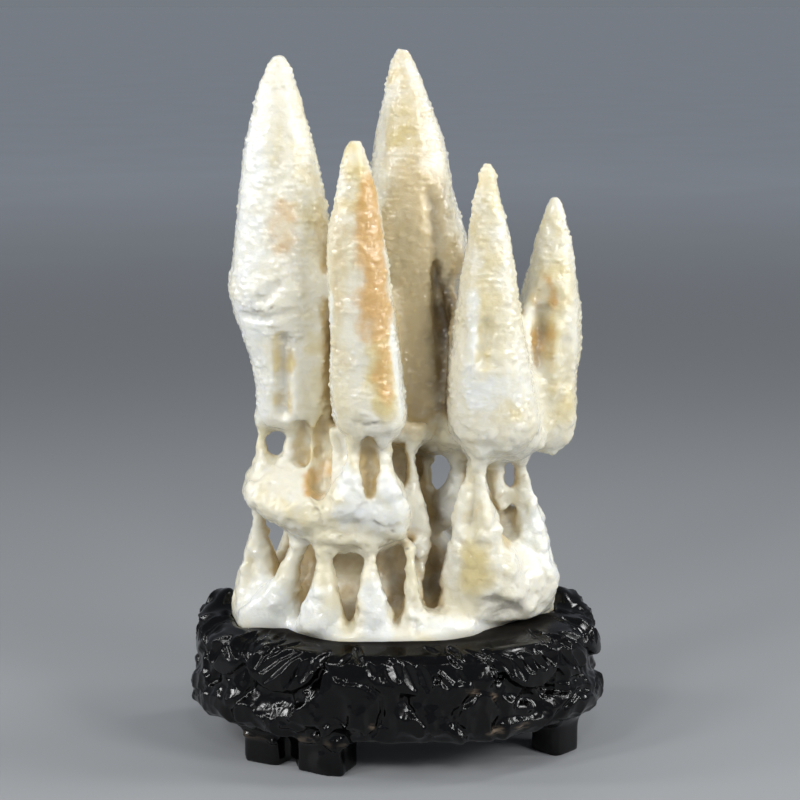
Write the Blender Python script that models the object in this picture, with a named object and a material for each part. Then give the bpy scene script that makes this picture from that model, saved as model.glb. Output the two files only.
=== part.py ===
"""A cluster of five cave-stone spires on a carved wooden stand.

The stone is one natural piece.  It grew as five tapering spires that stand on short
pillars, under them a middle tier, and under that a ring of flared teeth on a foot.
The stand is one carved block with a shallow seat that the foot drops into.

Metres, +Z up.  X runs along the stand's length and -Y is the front.  The origin is the
middle of the stand's outline, on the surface that it stands on.  Shapes are written in
millimetres and scaled once, where the points are made.
"""
import math

import bmesh
import bpy
from mathutils import Vector

MM = 0.001

# Driving heights, above the surface that the stand is on.
SEAT_FLOOR = 90.0       # bottom of the seat in the stand
LEDGE = 94.5            # top of the stand around the stone
APRON_BOTTOM = 27.0     # underside of the stand between its feet
STAND_HALF_LENGTH = 152.5
STAND_HALF_DEPTH = 94.5

# Fits.
REST_GAP = 0.3          # under the stone's foot
SIDE_GAP = 1.3          # around the stone's foot, inside the seat

# Mesh fineness: the voxel that joins the shapes, and the share of its faces that is kept.
STONE_VOXEL = 2.2
STAND_VOXEL = 3.0
STONE_KEPT = 0.039
STAND_KEPT = 0.053

# Radius of the webs that fill the creases where shapes meet, and the softening after it.
STONE_WEB = 2.0
STAND_WEB = 4.0
SOFTEN_ROUNDS = 3
SOFTEN_PULL = 0.5

STALK_STEP = 5.0        # height between two rings of a stalk
WALL_STEP = 4.0         # height between two rings of the stand's wall
RING_SIDES = 24
ROUND_CORNER = 2.3      # squareness of a stalk's outline, where an ellipse has 2
FOOT_STEPS = 3          # points along each stretch of the stone foot's outline
STAND_STEPS = 4         # points along each stretch of the stand's outline

# The guide solids reach this far past what they cut.
CUT_REACH = 200.0
CUT_ROOM = 30.0

# A row of a stalk is: height, middle x, middle y, half width, half depth.
SPIRES = {
    "tall_left": [
        (496.5, -81, -4, 4.5, 4.5), (492, -81, -4, 8, 7.5), (468, -82, -4, 15.6, 14.5),
        (431, -81.7, -5, 24.5, 22), (389, -80, -5, 31.7, 28), (350, -80.2, -6, 35.2, 31),
        (334, -81.4, -7, 36.6, 33), (321, -80, -6, 34.9, 31), (300, -76.8, -5, 31.6, 28),
        (269, -73.2, -5, 27.9, 26), (245, -73.3, -5, 27.6, 24), (238, -72.5, -5, 24.5, 20),
        (234, -71.5, -4, 17, 13)],
    "front": [
        (441, -28.4, -42, 4, 4), (436, -29, -42, 7, 6.5), (427, -28.8, -42, 9.2, 9),
        (406, -28.1, -42, 14, 13), (375, -28.9, -42, 19, 17), (345, -25.8, -42, 21.7, 20),
        (316, -23.7, -42, 22.6, 21), (277, -21.3, -41, 25.7, 23), (257, -19.5, -41, 27, 24),
        (245, -18.2, -40, 26, 22), (238, -18.3, -40, 20, 17), (232, -18.5, -38, 11, 11)],
    "tall_middle": [
        (500.6, 3.9, 22, 4.2, 4.2), (490.5, 3.8, 22, 9, 8.4), (463.5, 6.5, 22, 17.2, 16),
        (429, 8.8, 22, 25.6, 24), (397, 9.8, 22, 30.8, 28), (365, 13.3, 22, 35.9, 31),
        (351, 13.4, 22, 36, 31), (336, 12.5, 22, 32.3, 30), (293, 14.4, 21, 28.6, 28),
        (250, 19, 20, 27, 26), (222, 24, 19, 24, 23), (211, 27, 18, 16, 15)],
    "right": [
        (424.6, 61.1, -22, 3.6, 3.6), (417.5, 61.6, -22, 6.6, 6.2), (394, 61.7, -22, 11.4, 10.5),
        (367, 63.7, -22, 16.1, 15), (327, 63.5, -22, 22, 20), (289, 63.9, -22, 27.7, 24),
        (256, 66.4, -22, 30.8, 26), (242, 67.9, -22, 32.8, 26), (232, 68.4, -22, 30, 24),
        (224, 69.2, -22, 21.3, 18), (219, 69, -20, 12, 11)],
    "right_back": [
        (397.6, 110.9, 16, 3.2, 3.2), (392.6, 111.4, 16, 5.6, 5.2), (373, 110.5, 16, 10.8, 10),
        (340, 109.1, 16, 17.7, 17), (317, 108.7, 16, 22.9, 20), (295, 109.1, 16, 23.1, 21),
        (270, 107.8, 15, 20.7, 20), (244, 109.4, 14, 20, 18), (230, 109.9, 13, 18.8, 16),
        (221, 109.3, 12, 14.5, 13), (214, 108, 11, 8, 8), (211, 107.5, 10, 4.5, 5)],
}

# Flowstone that joins the spires low down, where they lean on each other.
WEBS = {
    "tall_left_to_middle": [
        (340, -30, 16, 6, 7), (315, -28, 16, 16, 11), (280, -27, 16, 24, 13),
        (240, -25, 14, 30, 16), (216, -22, 14, 26, 16)],
    "front_to_middle": [
        (332, -8, -14, 5, 8), (300, -8, -14, 10, 12), (250, -8, -14, 14, 14),
        (226, -6, -12, 12, 12)],
    "middle_to_right": [
        (330, 38, 4, 4, 8), (300, 38, 2, 8, 14), (250, 40, 0, 12, 16), (220, 42, 0, 11, 12)],
    "right_to_right_back": [
        (325, 92, 6, 5, 8), (295, 92, 2, 8, 14), (250, 93, 0, 13, 16), (220, 93, 0, 13, 12)],
    "ceiling_right": [(231, 77, -10, 31, 22), (222, 75, -11, 27, 20), (213, 72, -8, 18, 14)],
    "ceiling_middle": [(240, 6, 0, 24, 26), (228, 6, 0, 20, 22), (220, 6, 2, 13, 15)],
}

# Short pillars between the spires and the middle tier, waisted like an hourglass.
PILLARS = {
    "outer_left": [(246, -94, -8, 9, 9), (234, -96.6, -8, 4, 5), (221, -96.6, -8, 3.8, 5.5),
                   (213, -95.6, -9, 6.2, 9), (204, -95, -10, 10, 15), (194, -92, -12, 15, 21)],
    "left": [(246, -75, -8, 8, 9), (232, -75.5, -8, 4.6, 7), (219, -76, -9, 5.4, 8.5),
             (211, -77, -10, 7.6, 12), (203, -77, -12, 10, 18), (193, -76, -14, 13, 25)],
    "left_inner": [(240, -60, -12, 7, 8), (224, -61, -14, 3.6, 7), (212, -62, -16, 4.4, 9),
                   (202, -64, -18, 6, 14), (193, -66, -20, 8, 20)],
    "left_front": [(238, -42, -22, 8, 9), (226, -42, -24, 5.2, 7), (212, -42, -27, 5.8, 9),
                   (202, -43, -30, 6.6, 13), (190, -45, -32, 8, 17)],
    "fang_left": [(238, -30, -39, 8, 10), (228, -28.8, -41, 4.2, 6), (215, -30, -43, 6, 8),
                  (204, -31, -44, 9, 10), (194, -33, -44, 14, 13), (180, -32, -41, 18, 16)],
    "fang_right": [(238, -7, -39, 8, 10), (228, -9.3, -41, 4.2, 6), (215, -9, -43, 5.4, 8),
                   (204, -6.5, -44, 8.4, 10), (194, -4, -44, 10, 13), (180, -5, -41, 15, 16),
                   (166, -5, -37, 12, 16)],
    "fang_back": [(238, -19, -28, 14, 10), (222, -19, -28, 10, 8), (200, -20, -29, 12, 10),
                  (184, -20, -30, 18, 14)],
    "middle": [(236, 7, -12, 11, 10), (222, 8, -15, 4.4, 6), (205, 10, -16, 4.5, 6),
               (187, 13, -17, 5.7, 7), (164, 17, -18, 7.4, 8), (150, 17, -19, 6.4, 8),
               (136, 14, -21, 5.2, 8), (120, 12.6, -24, 5.4, 9), (97, 13, -30, 9, 12)],
    "middle_back": [(220, 22, 16, 9, 9), (207, 21.6, 16, 4.2, 6), (185, 21.6, 16, 4, 6),
                    (163, 23, 16, 5.4, 7), (146, 25, 16, 11, 12)],
    "right": [(224, 56.5, -22, 12, 12), (215, 56.5, -24, 6.4, 7), (209, 56.5, -25, 5.6, 7),
              (191, 54.8, -27, 10.6, 11), (167, 57.5, -28, 18.6, 15), (150, 58.5, -28, 25, 17),
              (133, 60, -26, 29, 19), (112, 63, -22, 34, 21), (98, 66, -8, 38, 24)],
    "right_outer": [(222, 88, 2, 10, 9), (205, 87.2, 3, 3.4, 5), (196, 89, 3, 4.8, 6),
                    (184, 91.5, 3, 7, 8), (167, 96, 3, 10.2, 11), (154, 97.5, 3, 12.7, 14),
                    (141, 96, 2, 14.2, 17), (126, 97, 0, 20, 20), (112, 97, 2, 18.6, 21),
                    (98, 94, 5, 18, 19)],
}

# Stubs that hang free from the ceiling and end in a round tip.
STUBS = {
    "middle_stub": [(218, 45, 8, 9, 9), (206, 44.4, 8, 6.6, 7), (193, 43, 7, 7.2, 7),
                    (184, 38.6, 6, 9.6, 8), (172, 36.4, 6, 8.6, 7), (162, 35, 5, 7.2, 6),
                    (156, 34.4, 5, 4, 4)],
    "right_stub": [(222, 70, 0, 12, 10), (208, 69, -2, 7, 7), (197, 69.3, -3, 6.6, 7),
                   (187, 72.2, -3, 6.8, 7), (178, 74.6, -3, 5.6, 6), (171, 75.4, -3, 3, 3.5)],
}

# The middle tier and the masses behind the pillars and the teeth.
MASSES = {
    "shelf": [(209, -74, -8, 27, 14), (204, -73, -8, 34, 20), (197, -60, -10, 49, 28),
              (189, -50, -13, 61, 36), (178, -46, -14, 58, 37), (168, -38, -14, 48, 36),
              (160, -32, -14, 39, 33), (151, -28, -13, 27, 25)],
    "left_back": [(244, -54, 8, 24, 20), (226, -56, 9, 19, 18), (206, -54, 9, 22, 20),
                  (170, -46, 12, 28, 24)],
    "left_front_back": [(238, -38, -6, 12, 10), (222, -40, -8, 11, 9), (200, -40, -10, 13, 12)],
    "middle_rear": [(232, 6, 38, 20, 13), (206, 9, 38, 13, 11), (180, 8, 37, 14, 13),
                    (150, 6, 34, 26, 20)],
    "front_back": [(236, -14, 17, 22, 12), (206, -12, 18, 20, 11), (172, -12, 18, 26, 14)],
    "lower_back": [(170, -32, 10, 38, 26), (150, -32, 12, 43, 22), (125, -29, 12, 42, 23),
                   (100, -26, 10, 52, 36)],
    "under_window": [(147, 37, 20, 12, 12), (137, 37, 23, 17, 17), (118, 40, 24, 22, 19),
                     (98, 42, 14, 34, 32)],
    "front_lip": [(109, 30, -42, 14, 8), (104, 32, -41, 22, 13), (98, 32, -39, 26, 16)],
    "right_front": [(153, 82, -6, 8, 8), (141, 82, -12, 14, 13), (126, 83, -14, 20, 16),
                    (110, 84, -10, 21, 18), (98, 86, 0, 18, 16)],
    "right_back": [(178, 66, 20, 13, 10), (160, 73, 18, 22, 15), (140, 77, 16, 29, 20),
                   (100, 76, 16, 36, 28)],
    "right_rear": [(228, 61, 22, 12, 10), (206, 61, 22, 8, 7), (186, 61, 24, 8.4, 8),
                   (165, 64, 24, 14, 13), (120, 66, 24, 24, 22)],
}

# Flared teeth of the lowest tier, down to the foot.
TEETH = {
    "outer_left": [(180, -96, -1, 10, 9), (164, -100, 3, 4.6, 5.5), (155, -100, 4, 6.4, 7),
                   (145, -100.5, 6, 9.6, 10), (130, -100, 9, 14, 14), (119, -100, 10, 17, 17),
                   (105, -101, 12, 20, 19), (97, -101, 13, 21, 20)],
    "left": [(166, -66, -20, 12, 12), (155, -70, -22, 6.2, 8), (140, -75, -21, 6.7, 9),
             (127, -79.5, -20, 9.5, 11), (112, -88, -16, 18.7, 16), (100, -92, -12, 23, 18),
             (97, -91, -11, 22, 18)],
    "left_front": [(160, -51, -36, 11, 12), (151, -51.5, -40, 5.2, 7), (138, -51.5, -42, 7.2, 8),
                   (119, -51.5, -44, 12.7, 12), (105, -54, -43, 16, 15), (97, -55.5, -40, 17, 18)],
    "front": [(160, -19, -38, 9, 12), (151, -19, -43, 4, 6), (138, -18.5, -46, 6.2, 8),
              (120, -17.5, -47, 10.7, 12), (105, -16.5, -46, 13, 14), (97, -15.5, -44, 14, 16)],
    "front_right": [(158, 9, -36, 6, 9), (147, 10, -42, 3, 5), (128, 9.6, -44, 4.9, 7),
                    (111, 11, -46, 6.5, 9), (97, 12, -45, 9, 14)],
    "rear_left": [(176, -72, 30, 12, 10), (160, -76, 34, 6, 7), (140, -79, 36, 8, 9),
                  (118, -82, 36, 15, 13), (97, -84, 34, 22, 15)],
    "rear_middle": [(172, -34, 38, 12, 10), (156, -35, 43, 6, 7), (136, -35, 45, 8, 8),
                    (114, -36, 46, 14, 12), (97, -36, 43, 21, 14)],
    "rear_right": [(152, 28, 34, 14, 10), (136, 29, 42, 8, 9), (114, 30, 45, 13, 12),
                   (97, 32, 42, 20, 14)],
}

# Outline of the stone's foot, in plan, from its left end round by the front, and the heights
# of the plate that it is cut from.
FOOT = [(-121, 16), (-117, -6), (-110, -24), (-79, -31), (-70, -42), (-41, -59), (2, -61),
        (30, -58), (51, -48), (66, -31), (90, -8), (114, 16), (112, 33), (90, 47), (50, 56),
        (5, 60), (-40, 58), (-85, 50), (-113, 35)]
FOOT_TOP = 98.0
FOOT_BOTTOM = 84.0

# Outline of the stand, in plan, from its left end round by the front, as shares of its
# half sizes.
STAND = [(-1.0, 0.04), (-0.93, -0.33), (-0.75, -0.64), (-0.5, -0.86), (-0.22, -0.97),
         (0.1, -0.98), (0.42, -0.91), (0.7, -0.7), (0.91, -0.36), (1.0, 0.02), (0.95, 0.4),
         (0.8, 0.68), (0.5, 0.89), (0.15, 0.99), (-0.2, 0.98), (-0.54, 0.87), (-0.83, 0.65),
         (-0.98, 0.37)]

# The stand's wall, top to bottom: height, share of the outline, and depth between two lobes.
WALL = [(LEDGE, 0.86, 0.0), (92.5, 0.895, 0.004), (88, 0.925, 0.01), (80, 0.95, 0.016),
        (70, 0.975, 0.022), (62, 0.965, 0.02), (54, 0.975, 0.018), (42, 1.0, 0.02),
        (34, 0.985, 0.02), (APRON_BOTTOM, 0.90, 0.0)]
WALL_LOBES = 13

# Leaf tips that curl up above the ledge at the two rear corners.
CURLS = {
    "left": [(106, -125, 38, 4, 6), (101, -131, 36, 9, 11), (90, -138, 34, 9.5, 16),
             (70, -139, 30, 9, 18)],
    "right": [(106, 119, 40, 4, 6), (101, 125, 38, 9, 11), (90, 133, 34, 9.5, 16),
              (70, 137, 30, 9, 18)],
}

# Block feet: middle x, middle y, width, depth, and turn about the vertical in degrees.
FEET = [(-92, -37, 28, 30, -26), (-50, -56, 36, 32, -29), (114, -21, 27, 27, 45),
        (-98, 48, 36, 30, 32), (98, 48, 36, 30, -32)]
# A block foot's wall, top to bottom: height and share of its width and depth.
FOOT_WALL = [(50, 0.7), (34, 0.76), (26, 0.85), (20, 0.98), (8, 1.0), (-6, 1.0)]
FOOT_CORNER = 7.0       # squareness of a block foot's outline


def clear_scene():
    for thing in list(bpy.data.objects):
        bpy.data.objects.remove(thing, do_unlink=True)


def between(before, start, end, after, share):
    """One value of a smooth curve that passes through start and end."""
    return 0.5 * (2 * start + (end - before) * share
                  + (2 * before - 5 * start + 4 * end - after) * share ** 2
                  + (3 * start - before - 3 * end + after) * share ** 3)


def smooth_rows(rows, step):
    """Fill the rows in, top to bottom, along a smooth curve."""
    filled = []
    for index in range(len(rows) - 1):
        before = rows[max(index - 1, 0)]
        start, end = rows[index], rows[index + 1]
        after = rows[min(index + 2, len(rows) - 1)]
        count = max(1, round(abs(start[0] - end[0]) / step))
        for part in range(count):
            share = part / count
            row = [between(*values, share) for values in zip(before, start, end, after)]
            row[0] = start[0] + (end[0] - start[0]) * share
            filled.append(row)
    filled.append(list(rows[-1]))
    return filled


def smooth_outline(points, count):
    """A closed smooth curve through the points, as count points for each stretch."""
    total = len(points)
    curve = []
    for index in range(total):
        stretch = [points[(index + shift) % total] for shift in (-1, 0, 1, 2)]
        for part in range(count):
            curve.append([between(*values, part / count) for values in zip(*stretch)])
    return curve


def oval(x, y, half_width, half_depth, corner=ROUND_CORNER, turn=0.0):
    """A closed ring: near an ellipse, or squarer where corner is high."""
    ring = []
    for side in range(RING_SIDES):
        angle = 2 * math.pi * side / RING_SIDES
        cos, sin = math.cos(angle), math.sin(angle)
        across = half_width * math.copysign(abs(cos) ** (2 / corner), cos)
        along = half_depth * math.copysign(abs(sin) ** (2 / corner), sin)
        ring.append((x + across * math.cos(turn) - along * math.sin(turn),
                     y + across * math.sin(turn) + along * math.cos(turn)))
    return ring


def add_loft(mesh, rings):
    """A closed skin over the rings, each a height and its points, top to bottom."""
    loops = []
    for height, ring in rings:
        loops.append([mesh.verts.new(Vector((x, y, height)) * MM) for x, y in ring])
    faces = [mesh.faces.new(loops[0]), mesh.faces.new(reversed(loops[-1]))]
    for upper, lower in zip(loops, loops[1:]):
        for side in range(len(upper)):
            after = (side + 1) % len(upper)
            faces.append(mesh.faces.new((upper[after], upper[side], lower[side], lower[after])))
    bmesh.ops.recalc_face_normals(mesh, faces=faces)


def add_stalk(mesh, rows):
    filled = smooth_rows(rows, STALK_STEP)
    add_loft(mesh, [(row[0], oval(*row[1:])) for row in filled])


def stone_foot():
    """The closed outline of the stone's foot."""
    return smooth_outline(FOOT, FOOT_STEPS)


def add_foot_plate(mesh):
    outline = stone_foot()
    add_loft(mesh, [(FOOT_TOP, outline), (FOOT_BOTTOM, outline)])


def grow(outline, distance):
    """The same closed outline, moved outward by distance."""
    grown = []
    total = len(outline)
    for index in range(total):
        before, after = Vector(outline[index - 1]), Vector(outline[(index + 1) % total])
        along = (after - before).normalized()
        here = Vector(outline[index])
        grown.append((here.x + along.y * distance, here.y - along.x * distance))
    return grown


def add_stand_wall(mesh):
    outline = smooth_outline(STAND, STAND_STEPS)
    rings = []
    for height, share, lobe in smooth_rows(WALL, WALL_STEP):
        ring = []
        for x, y in outline:
            reach = share * (1 - lobe * abs(math.sin(0.5 * WALL_LOBES * math.atan2(y, x))))
            ring.append((x * STAND_HALF_LENGTH * reach, y * STAND_HALF_DEPTH * reach))
        rings.append((height, ring))
    add_loft(mesh, rings)


def add_foot(mesh, x, y, width, depth, turn):
    rings = []
    for height, share in FOOT_WALL:
        ring = oval(x, y, width / 2 * share, depth / 2 * share, FOOT_CORNER, math.radians(turn))
        rings.append((height, ring))
    add_loft(mesh, rings)


def new_object(name, mesh, material=None):
    data = bpy.data.meshes.new(name)
    mesh.to_mesh(data)
    mesh.free()
    thing = bpy.data.objects.new(name, data)
    bpy.context.collection.objects.link(thing)
    if material:
        data.materials.append(material)
    return thing


def new_material(name, colour, roughness):
    material = bpy.data.materials.new(name)
    material.use_nodes = True
    shader = material.node_tree.nodes["Principled BSDF"]
    shader.inputs["Base Color"].default_value = (*colour, 1.0)
    shader.inputs["Roughness"].default_value = roughness
    return material


def cutter(name, rings):
    """A guide solid that another object is cut with."""
    mesh = bmesh.new()
    add_loft(mesh, rings)
    thing = new_object(name, mesh)
    thing.hide_render = True
    thing.display_type = "WIRE"
    return thing


def add_skin(thing, voxel):
    """One closed skin over all of the object's overlapping shapes."""
    remesh = thing.modifiers.new("skin", "REMESH")
    remesh.mode = "VOXEL"
    remesh.voxel_size = voxel * MM


def add_swell(thing, distance):
    """Move the skin out by distance, or in where it is negative."""
    swell = thing.modifiers.new("swell", "DISPLACE")
    swell.mid_level = 0.0
    swell.strength = distance * MM


def melt_together(thing, voxel, web, kept):
    """Join the shapes, fill every crease to a radius of web, soften, and thin the mesh."""
    add_skin(thing, voxel)
    add_swell(thing, web)
    add_skin(thing, voxel)
    add_swell(thing, -web)
    add_skin(thing, voxel)
    soften = thing.modifiers.new("soften", "SMOOTH")
    soften.factor = SOFTEN_PULL
    soften.iterations = SOFTEN_ROUNDS
    thin = thing.modifiers.new("thin", "DECIMATE")
    thin.ratio = kept


def cut(thing, tool):
    boolean = thing.modifiers.new("cut_" + tool.name, "BOOLEAN")
    boolean.operation = "DIFFERENCE"
    boolean.solver = "EXACT"
    boolean.object = tool


def plate(low, high):
    """The two rings of a square block that is wider than the whole object."""
    half = CUT_REACH
    corners = [(-half, -half), (-half, half), (half, half), (half, -half)]
    return [(high, corners), (low, corners)]


def make_stone():
    mesh = bmesh.new()
    for group in (SPIRES, WEBS, PILLARS, STUBS, MASSES, TEETH):
        for rows in group.values():
            add_stalk(mesh, rows)
    add_foot_plate(mesh)
    stone = new_object("stone", mesh, new_material("calcite", (0.86, 0.80, 0.68), 0.35))
    melt_together(stone, STONE_VOXEL, STONE_WEB, STONE_KEPT)
    around_foot = cutter("around_foot", plate(SEAT_FLOOR - CUT_ROOM, LEDGE + REST_GAP))
    foot = stone_foot()
    cut(around_foot, cutter("foot_shape", [(LEDGE + CUT_ROOM, foot), (SEAT_FLOOR + REST_GAP, foot)]))
    cut(stone, around_foot)
    return stone


def make_stand():
    mesh = bmesh.new()
    add_stand_wall(mesh)
    for rows in CURLS.values():
        add_stalk(mesh, rows)
    for foot in FEET:
        add_foot(mesh, *foot)
    stand = new_object("stand", mesh, new_material("lacquered_wood", (0.012, 0.010, 0.010), 0.2))
    melt_together(stand, STAND_VOXEL, STAND_WEB, STAND_KEPT)
    cut(stand, cutter("below_floor", plate(-CUT_ROOM, 0)))
    seat = grow(stone_foot(), SIDE_GAP)
    cut(stand, cutter("seat", [(LEDGE + CUT_ROOM, seat), (SEAT_FLOOR, seat)]))
    return stand


clear_scene()
make_stone()
make_stand()
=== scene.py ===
"""The looks of the cave-stone cluster and of the carved stand that it sits in.

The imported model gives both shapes.  Each one is copied, made fine enough to carve, given
its surface detail by moving points in code, and painted with masks that its material
reads.  The two copies stand for the two CAD nodes.  Sizes are in millimetres and are
scaled once, where the points are read and written.
"""

import math

import bmesh
import bpy
import numpy as np
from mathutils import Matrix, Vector, noise
from mathutils.bvhtree import BVHTree


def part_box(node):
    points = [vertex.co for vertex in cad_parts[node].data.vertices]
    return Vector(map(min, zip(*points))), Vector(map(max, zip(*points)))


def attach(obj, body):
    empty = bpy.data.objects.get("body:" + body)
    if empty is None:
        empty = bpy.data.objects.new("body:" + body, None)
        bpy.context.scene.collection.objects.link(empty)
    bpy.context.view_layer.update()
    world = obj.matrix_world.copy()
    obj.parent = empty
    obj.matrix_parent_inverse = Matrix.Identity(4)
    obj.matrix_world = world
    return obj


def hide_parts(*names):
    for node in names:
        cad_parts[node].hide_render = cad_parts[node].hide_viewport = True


MM = 0.001
NOISE_SEED = 4              # the hewn faces of the stone tilt the same way in every run

# The camera stands where the photograph was taken from; its place is in metres.
CAMERA_PLACE = (0.0018, -1.372, 0.529)
CAMERA_PITCH = 11.36        # degrees below the horizontal
CAMERA_LENS = 88.5
CAMERA_SENSOR = 36.0

# The lamps: name, place and size in metres, watts.  All of them aim at the stone's middle.
LAMPS = [
    ("left", (-1.3, -0.85, 1.15), (0.22, 0.7), 8.5),
    ("front_left", (-0.8, -1.2, 1.25), (0.3, 0.3), 6.5),
    ("front", (0.15, -1.6, 1.5), (0.3, 0.3), 4.5),
    ("front_right", (1.1, -1.0, 0.9), (0.3, 0.3), 6.5),
    ("right", (1.35, -0.85, 1.0), (0.22, 0.7), 6.5),
    ("edge_left", (-1.3, -0.1, 0.75), (0.16, 0.5), 6.0),
    ("edge_right", (1.3, -0.1, 0.75), (0.16, 0.5), 5.0),
    ("high_right", (0.95, 0.1, 1.75), (0.3, 0.3), 6.5)]
LAMP_AIM = (0.0, 0.0, 0.25)

# The room's glow at the horizon, a little above it and overhead.
ROOM_HAZE = (0.178, 0.198, 0.222)
ROOM_LOW = (0.25, 0.268, 0.298)
ROOM_HIGH = (0.19, 0.203, 0.225)

# The floor: its colours near the object, far behind it and in faint clouds, and its half size.
FLOOR_NEAR = (0.31, 0.32, 0.33)
FLOOR_FAR = (0.90, 0.94, 0.99)
FLOOR_CLOUD = (0.36, 0.37, 0.38)
FLOOR_REACH = 400.0         # metres

# Colours of the calcite: clean, in its streaks, stained, in hollows as stain and painted shade,
# crusted, in gaps as stain and painted shade, cracked.
CALCITE = (0.84, 0.81, 0.69)
CALCITE_STREAK = (0.77, 0.70, 0.47)
STAIN_TINTS = {"tan": (0.66, 0.54, 0.31), "yellow": (0.73, 0.62, 0.31),
               "orange": (0.66, 0.41, 0.14)}
HOLLOW_STAIN_AND_SHADE_TAN = (0.62, 0.47, 0.22)
HOLLOW_STAIN_AND_SHADE_BROWN = (0.37, 0.255, 0.10)
WHITE_CRUST = (0.86, 0.87, 0.82)
GAP_STAIN_AND_SHADE_BROWN = (0.085, 0.05, 0.016)
CRACK_BROWN = (0.16, 0.12, 0.08)

# Colours of the stand: polished, dusty on its flat top, rubbed to the wood on a few rims, where
# the paler colour also paints a highlight.
LACQUER = (0.0006, 0.0005, 0.0006)
LEDGE_DUST = (0.009, 0.0075, 0.006)
BARE_WOOD_AND_HIGHLIGHT = (0.17, 0.13, 0.09)

# The edges of the block feet stay sharp: those lower than this, with a steeper fold than this.
SHARP_BELOW = 30.0
SHARP_FOLD = 38.0           # degrees

# How fine the two carved meshes are.
STONE_ROUGH_VOXEL = 1.9
STONE_FINE_VOXEL = 1.25
STAND_ROUGH_VOXEL = 1.9
STAND_FINE_VOXEL = 0.95
MOST_TRIANGLES = 192000

# Rounding the facets off takes this much from the surface, and it is put back.
STONE_ROUNDING_LOSS = 0.7
STAND_ROUNDING_LOSS = 1.1

WELD = 0.01                 # corners of the CAD facets this close are one corner
SMOOTH_IN = 0.5             # a smoothing pull towards the neighbours
SMOOTH_OUT = -0.52          # and the slightly longer push back

# The stone's surface: growth rings of beads on the spires, broken lumps on the base.
RING_PITCH = 3.9
BEAD_WIDTH = 6.0
BEAD_DEPTH = 1.5
RINGS_START = 246.0         # height above which the spires are ringed
FLUTE_SIZE = (15.0, 15.0, 110.0)
FLUTE_DEPTH = 1.3
SWELL_SIZE = 24.0
SWELL_DEPTH = 0.9
LUMP_SIZE = (15.0, 15.0, 12.0)
LUMP_DEPTH = 0.9
BREAK_SIZE = 15.0           # hewn faces of the base, and their height against their tilt
BREAK_DEPTH = 0.24
CHIP_SIZE = 7.0             # the same for the small chips
CHIP_DEPTH = 0.2
FINE_DRIP_SIZE = (3.6, 3.6, 2.8)
FINE_DRIP_DEPTH = 0.45
BROAD_DRIP_SIZE = (7.0, 7.0, 8.0)
BROAD_DRIP_DEPTH = 0.6
SEAT_FADE = (96.0, 104.0)   # the stone is plain below the first height, carved above the second

# A point's openness is how many of these rays leave it freely, as far as this reach.
OPEN_RAYS = 10
OPEN_REACH = 45.0
RAY_LIFT = 0.4              # a ray starts this far off the surface

# A furrow or a ridge fades out at this many times its half width.
FURROW_REACH = 1.9
RIDGE_REACH = 2.2

# Furrows in the stone: start, end, half width, depth.
FURROWS = [
    # the left spire: the flute down its trunk, the folds of its shoulder, its right side
    [(-79, -37, 300), (-81, -31, 250), 5.0, 8.0],
    [(-99, -36, 311), (-84, -40, 307), 2.8, 4.5], [(-84, -40, 307), (-66, -37, 299), 2.8, 4.5],
    [(-109, -28, 318), (-90, -38, 316), 2.6, 3.4], [(-86, -40, 318), (-72, -40, 322), 2.4, 2.6],
    [(-94, -36, 330), (-82, -39, 340), 4.0, 3.6],
    [(-52, -22, 352), (-53, -22, 238), 2.4, 2.5],
    # the tallest spire: the groove down its right side
    [(23, -5, 400), (29, -7, 345), 3.6, 3.5],
    [(29, -7, 348), (33, -8, 250), 3.8, 9.0],
    # the spire right of the middle: its niche and the slot beside it
    [(60, -45, 313), (59, -47, 290), 4.5, 4.5],
    [(46, -36, 312), (49, -40, 292), 3.4, 2.2],
    # the rear spire: one groove on each side of its front ridge
    [(106, -3, 326), (98, -4, 278), 6.5, 6.0],
    [(118, -2, 296), (119, 0, 266), 4.0, 3.0],
    # under the left spire: two niches and a pit
    [(-66, -24, 240), (-67, -20, 214), 4.5, 7.5],
    [(-53, -19, 242), (-55, -30, 202), 5.5, 6.0],
    [(-55, -36, 203), (-55, -38, 196), 5.5, 6.0],
    # the slot under the front spire, and the hollow right of it
    [(-20, -50, 238), (-19, -46, 214), 4.2, 6.5],
    [(-19, -46, 216), (-19, -48, 196), 3.0, 5.0],
    [(1, -14, 226), (1, 2, 196), 7.0, 3.0],
    # the right mass: a niche on each side of its front ridge
    [(51, -37, 203), (50, -42, 174), 5.5, 8.0],
    [(83, -11, 206), (84, -13, 180), 2.2, 5.0],
    [(79, -10, 180), (78, -33, 160), 6.0, 5.0],
    # the feet: niche at the far left, split under the middle, pit on the right
    [(-108, -6, 134), (-109, -12, 112), 6.0, 5.0],
    [(12, -52, 120), (13, -57, 98), 2.4, 4.0],
    [(68, -42, 113), (84, -36, 108), 6.0, 5.0],
    [(60, -48, 104), (70, -43, 100), 4.0, 3.0],
    # the back: flutes down the spires, niches in the flowstone and in the masses under it
    [(-88, 24, 330), (-84, 21, 250), 4.5, 6.0], [(-104, 12, 314), (-76, 24, 308), 2.8, 3.6],
    [(2, 50, 345), (8, 47, 252), 4.0, 6.0], [(30, 44, 300), (30, 42, 262), 5.0, 5.0],
    [(116, 35, 318), (112, 33, 262), 4.5, 5.0],
    [(-30, 27, 325), (-28, 29, 262), 6.0, 5.0], [(-16, 29, 280), (-14, 29, 240), 4.5, 4.5],
    [(-56, 28, 222), (-52, 30, 186), 5.0, 5.5], [(6, 51, 210), (8, 50, 176), 4.5, 4.0],
    [(70, 37, 150), (66, 40, 128), 6.0, 5.0],
]

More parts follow.
